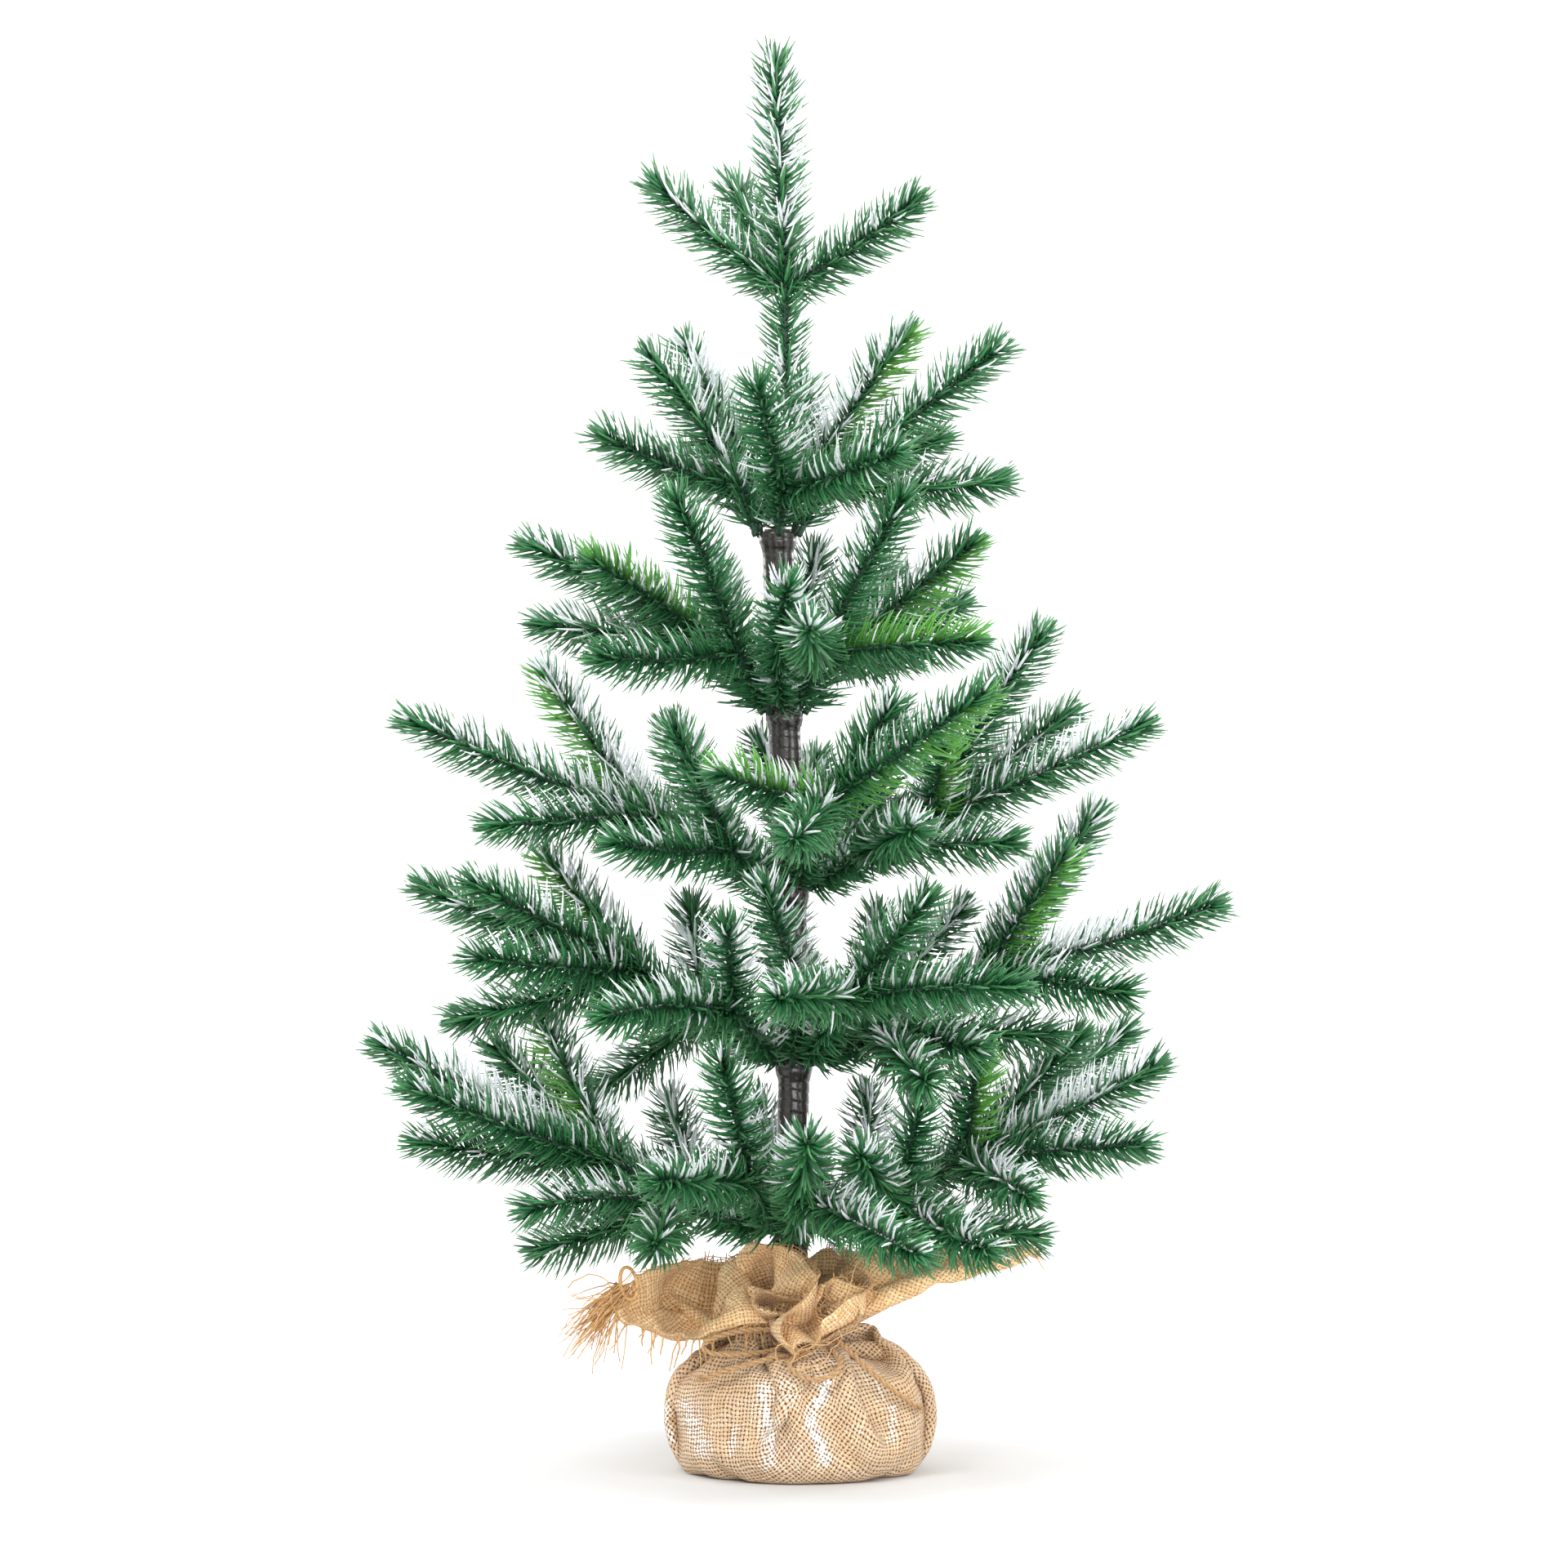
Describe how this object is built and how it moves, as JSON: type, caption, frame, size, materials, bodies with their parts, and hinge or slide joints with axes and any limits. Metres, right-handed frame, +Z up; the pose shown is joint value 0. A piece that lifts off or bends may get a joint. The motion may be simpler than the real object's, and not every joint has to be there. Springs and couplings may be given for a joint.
{
  "type": "artificial tabletop tree",
  "caption": "Small artificial pine tree with bendable needled branches on a taped trunk, standing in a weight wrapped in burlap and tied with a jute bow.",
  "frame": {"origin": "floor level under the trunk: on the flat underside of the burlap-wrapped weight", "axes": "+Z up along the trunk, -Y towards the viewer the bow faces, +X to that viewer's right"},
  "size_m": [0.3594, 0.3072, 0.5944],
  "materials": {
    "pine_plastic": "moulded needles, satin, with flecks of white frost on the upper side",
    "trunk_steel": "dark brown",
    "trunk_tape": "wound glossy dark tape",
    "cast_weight": "rough cast",
    "burlap": "open plain weave, natural tan, frayed edges, brushed with white paint",
    "jute": "twisted natural twine"
  },
  "bodies": {
    "stand": {"trunk_pole": "trunk_steel", "trunk_wrap_1": "trunk_tape", "trunk_wrap_2": "trunk_tape", "trunk_wrap_3": "trunk_tape", "trunk_wrap_4": "trunk_tape", "trunk_wrap_5": "trunk_tape", "base_weight": "cast_weight", "burlap_wrap": "burlap", "twine_tie": "jute", "twine_knot": "jute", "bow_loop_left": "jute", "bow_loop_right": "jute", "twine_tail_left": "jute", "twine_tail_right": "jute"},
    "branch_leader": {"branch_leader": "pine_plastic"},
    "branch_t2_front": {"branch_t2_front": "pine_plastic"},
    "branch_t2_left": {"branch_t2_left": "pine_plastic"},
    "branch_t2_right": {"branch_t2_right": "pine_plastic"},
    "branch_t2_right_back": {"branch_t2_right_back": "pine_plastic"},
    "branch_t2_back_left": {"branch_t2_back_left": "pine_plastic"},
    "branch_t2_back": {"branch_t2_back": "pine_plastic"},
    "branch_t3_front_left": {"branch_t3_front_left": "pine_plastic"},
    "branch_t3_left": {"branch_t3_left": "pine_plastic"},
    "branch_t3_front_right": {"branch_t3_front_right": "pine_plastic"},
    "branch_t3_right": {"branch_t3_right": "pine_plastic"},
    "branch_t3_front": {"branch_t3_front": "pine_plastic"},
    "branch_t3_back_left": {"branch_t3_back_left": "pine_plastic"},
    "branch_t3_back": {"branch_t3_back": "pine_plastic"},
    "branch_t3_back_right": {"branch_t3_back_right": "pine_plastic"},
    "branch_t4_left": {"branch_t4_left": "pine_plastic"},
    "branch_t4_front_left": {"branch_t4_front_left": "pine_plastic"},
    "branch_t4_front_right": {"branch_t4_front_right": "pine_plastic"},
    "branch_t4_low_right": {"branch_t4_low_right": "pine_plastic"},
    "branch_t4_right": {"branch_t4_right": "pine_plastic"},
    "branch_t4_back_left": {"branch_t4_back_left": "pine_plastic"},
    "branch_t4_back": {"branch_t4_back": "pine_plastic"},
    "branch_t4_back_right": {"branch_t4_back_right": "pine_plastic"},
    "branch_t5_left": {"branch_t5_left": "pine_plastic"},
    "branch_t5_front_left": {"branch_t5_front_left": "pine_plastic"},
    "branch_t5_front_right": {"branch_t5_front_right": "pine_plastic"},
    "branch_t5_front": {"branch_t5_front": "pine_plastic"},
    "branch_t5_right": {"branch_t5_right": "pine_plastic"},
    "branch_t5_low_right": {"branch_t5_low_right": "pine_plastic"},
    "branch_t5_back_left": {"branch_t5_back_left": "pine_plastic"},
    "branch_t5_back": {"branch_t5_back": "pine_plastic"},
    "branch_t5_back_right": {"branch_t5_back_right": "pine_plastic"},
    "branch_t6_left": {"branch_t6_left": "pine_plastic"},
    "branch_t6_front_left": {"branch_t6_front_left": "pine_plastic"},
    "branch_t6_low_left": {"branch_t6_low_left": "pine_plastic"},
    "branch_t6_front": {"branch_t6_front": "pine_plastic"},
    "branch_t6_right": {"branch_t6_right": "pine_plastic"},
    "branch_t6_low_right": {"branch_t6_low_right": "pine_plastic"},
    "branch_t6_back_left": {"branch_t6_back_left": "pine_plastic"},
    "branch_t6_back": {"branch_t6_back": "pine_plastic"},
    "branch_t6_back_right": {"branch_t6_back_right": "pine_plastic"}
  },
  "joints": [
    {"name": "bend_leader", "type": "hinge", "parent": "stand", "child": "branch_leader", "pos_m": [-0.00136, 0, 0.39524], "axis": [0, 1, 0], "range_deg": [-30, 13]},
    {"name": "bend_t2_front", "type": "hinge", "parent": "stand", "child": "branch_t2_front", "pos_m": [-0.00455, -0.00956, 0.3898], "axis": [-0.9957, -0.0927, 0], "range_deg": [-29, 40]},
    {"name": "bend_t2_left", "type": "hinge", "parent": "stand", "child": "branch_t2_left", "pos_m": [-0.01475, -0.00234, 0.3898], "axis": [-0.2433, 0.97, 0], "range_deg": [-30, 28]},
    {"name": "bend_t2_right", "type": "hinge", "parent": "stand", "child": "branch_t2_right", "pos_m": [0.00411, -0.00092, 0.3898], "axis": [-0.0956, -0.9954, 0], "range_deg": [-30, 17]},
    {"name": "bend_t2_right_back", "type": "hinge", "parent": "stand", "child": "branch_t2_right_back", "pos_m": [0.00163, 0.00649, 0.3898], "axis": [0.6758, -0.7371, 0], "range_deg": [-30, 14]},
    {"name": "bend_t2_back_left", "type": "hinge", "parent": "stand", "child": "branch_t2_back_left", "pos_m": [-0.01263, 0.00636, 0.3898], "axis": [0.6624, 0.7491, 0], "range_deg": [-30, 22]},
    {"name": "bend_t2_back", "type": "hinge", "parent": "stand", "child": "branch_t2_back", "pos_m": [-0.00553, 0.0096, 0.3898], "axis": [1, 0.009, 0], "range_deg": [-25, 16]},
    {"name": "bend_t3_front_left", "type": "hinge", "parent": "stand", "child": "branch_t3_front_left", "pos_m": [-0.00892, -0.00733, 0.31565], "axis": [-0.7636, 0.6457, 0], "range_deg": [-17, 31]},
    {"name": "bend_t3_left", "type": "hinge", "parent": "stand", "child": "branch_t3_left", "pos_m": [-0.0123, 0.00061, 0.31565], "axis": [0.0637, 0.998, 0], "range_deg": [-21, 29]},
    {"name": "bend_t3_front_right", "type": "hinge", "parent": "stand", "child": "branch_t3_front_right", "pos_m": [0.00233, -0.00816, 0.31565], "axis": [-0.8501, -0.5267, 0], "range_deg": [-30, 11]},
    {"name": "bend_t3_right", "type": "hinge", "parent": "stand", "child": "branch_t3_right", "pos_m": [0.00685, 0.0007, 0.31565], "axis": [0.0732, -0.9973, 0], "range_deg": [-30, 28]},
    {"name": "bend_t3_front", "type": "hinge", "parent": "stand", "child": "branch_t3_front", "pos_m": [-0.00343, -0.00957, 0.31565], "axis": [-0.9973, 0.0736, 0], "range_deg": [-30, 39]},
    {"name": "bend_t3_back_left", "type": "hinge", "parent": "stand", "child": "branch_t3_back_left", "pos_m": [-0.00769, 0.00821, 0.31565], "axis": [0.8554, 0.518, 0], "range_deg": [-30, 35]},
    {"name": "bend_t3_back", "type": "hinge", "parent": "stand", "child": "branch_t3_back", "pos_m": [-0.00192, 0.00957, 0.31565], "axis": [0.9965, -0.0837, 0], "range_deg": [-30, 24]},
    {"name": "bend_t3_back_right", "type": "hinge", "parent": "stand", "child": "branch_t3_back_right", "pos_m": [0.00355, 0.00727, 0.31565], "axis": [0.757, -0.6534, 0], "range_deg": [-17, 24]},
    {"name": "bend_t4_left", "type": "hinge", "parent": "stand", "child": "branch_t4_left", "pos_m": [-0.00954, -0.00104, 0.24218], "axis": [-0.1086, 0.9941, 0], "range_deg": [-16, 17]},
    {"name": "bend_t4_front_left", "type": "hinge", "parent": "stand", "child": "branch_t4_front_left", "pos_m": [-0.00495, -0.00823, 0.24218], "axis": [-0.857, 0.5154, 0], "range_deg": [-30, 22]},
    {"name": "bend_t4_front_right", "type": "hinge", "parent": "stand", "child": "branch_t4_front_right", "pos_m": [0.00182, -0.00943, 0.24218], "axis": [-0.9819, -0.1893, 0], "range_deg": [-17, 17]},
    {"name": "bend_t4_low_right", "type": "hinge", "parent": "stand", "child": "branch_t4_low_right", "pos_m": [0.00701, -0.00656, 0.24218], "axis": [-0.6831, -0.7303, 0], "range_deg": [-16, 15]},
    {"name": "bend_t4_right", "type": "hinge", "parent": "stand", "child": "branch_t4_right", "pos_m": [0.00958, 0.00065, 0.24218], "axis": [0.0681, -0.9977, 0], "range_deg": [-28, 24]},
    {"name": "bend_t4_back_left", "type": "hinge", "parent": "stand", "child": "branch_t4_back_left", "pos_m": [-0.00566, 0.00775, 0.24218], "axis": [0.8075, 0.5898, 0], "range_deg": [-28, 32]},
    {"name": "bend_t4_back", "type": "hinge", "parent": "stand", "child": "branch_t4_back", "pos_m": [-0.00002, 0.0096, 0.24218], "axis": [1, 0.0026, 0], "range_deg": [-30, 30]},
    {"name": "bend_t4_back_right", "type": "hinge", "parent": "stand", "child": "branch_t4_back_right", "pos_m": [0.00562, 0.00778, 0.24218], "axis": [0.8105, -0.5857, 0], "range_deg": [-19, 18]},
    {"name": "bend_t5_left", "type": "hinge", "parent": "stand", "child": "branch_t5_left", "pos_m": [-0.00819, -0.00093, 0.16939], "axis": [-0.0967, 0.9953, 0], "range_deg": [-12, 36]},
    {"name": "bend_t5_front_left", "type": "hinge", "parent": "stand", "child": "branch_t5_front_left", "pos_m": [-0.0043, -0.00776, 0.16939], "axis": [-0.8079, 0.5893, 0], "range_deg": [-30, 30]},
    {"name": "bend_t5_front_right", "type": "hinge", "parent": "stand", "child": "branch_t5_front_right", "pos_m": [0.00585, -0.00848, 0.16939], "axis": [-0.8838, -0.4678, 0], "range_deg": [-17, 14]},
    {"name": "bend_t5_front", "type": "hinge", "parent": "stand", "child": "branch_t5_front", "pos_m": [0.00067, -0.00958, 0.16939], "axis": [-0.9974, 0.0716, 0], "range_deg": [-30, 22]},
    {"name": "bend_t5_right", "type": "hinge", "parent": "stand", "child": "branch_t5_right", "pos_m": [0.01096, 0.00032, 0.16939], "axis": [0.033, -0.9995, 0], "range_deg": [-15, 17]},
    {"name": "bend_t5_low_right", "type": "hinge", "parent": "stand", "child": "branch_t5_low_right", "pos_m": [0.00967, -0.00482, 0.16939], "axis": [-0.5016, -0.8651, 0], "range_deg": [-26, 16]},
    {"name": "bend_t5_back_left", "type": "hinge", "parent": "stand", "child": "branch_t5_back_left", "pos_m": [-0.00515, 0.00705, 0.16939], "axis": [0.7345, 0.6787, 0], "range_deg": [-30, 38]},
    {"name": "bend_t5_back", "type": "hinge", "parent": "stand", "child": "branch_t5_back", "pos_m": [0.00138, 0.0096, 0.16939], "axis": [1, -0.002, 0], "range_deg": [-30, 22]},
    {"name": "bend_t5_back_right", "type": "hinge", "parent": "stand", "child": "branch_t5_back_right", "pos_m": [0.00725, 0.00758, 0.16939], "axis": [0.7899, -0.6132, 0], "range_deg": [-26, 35]},
    {"name": "bend_t6_left", "type": "hinge", "parent": "stand", "child": "branch_t6_left", "pos_m": [-0.00892, 0.00006, 0.09932], "axis": [0.0065, 1, 0], "range_deg": [-18, 20]},
    {"name": "bend_t6_front_left", "type": "hinge", "parent": "stand", "child": "branch_t6_front_left", "pos_m": [-0.00309, -0.00883, 0.09932], "axis": [-0.9195, 0.3932, 0], "range_deg": [-30, 37]},
    {"name": "bend_t6_low_left", "type": "hinge", "parent": "stand", "child": "branch_t6_low_left", "pos_m": [-0.00749, -0.00503, 0.09932], "axis": [-0.5244, 0.8515, 0], "range_deg": [-23, 18]},
    {"name": "bend_t6_front", "type": "hinge", "parent": "stand", "child": "branch_t6_front", "pos_m": [0.00216, -0.00949, 0.09932], "axis": [-0.9881, -0.1538, 0], "range_deg": [-30, 10]},
    {"name": "bend_t6_right", "type": "hinge", "parent": "stand", "child": "branch_t6_right", "pos_m": [0.01025, -0.00081, 0.09932], "axis": [-0.084, -0.9965, 0], "range_deg": [-14, 15]},
    {"name": "bend_t6_low_right", "type": "hinge", "parent": "stand", "child": "branch_t6_low_right", "pos_m": [0.00824, -0.00592, 0.09932], "axis": [-0.6166, -0.7873, 0], "range_deg": [-15, 9]},
    {"name": "bend_t6_back_left", "type": "hinge", "parent": "stand", "child": "branch_t6_back_left", "pos_m": [-0.00547, 0.00737, 0.09932], "axis": [0.7676, 0.641, 0], "range_deg": [-28, 19]},
    {"name": "bend_t6_back", "type": "hinge", "parent": "stand", "child": "branch_t6_back", "pos_m": [0.00003, 0.00958, 0.09932], "axis": [0.9977, 0.0682, 0], "range_deg": [-19, 32]},
    {"name": "bend_t6_back_right", "type": "hinge", "parent": "stand", "child": "branch_t6_back_right", "pos_m": [0.00633, 0.00776, 0.09932], "axis": [0.8087, -0.5882, 0], "range_deg": [-26, 32]}
  ]
}
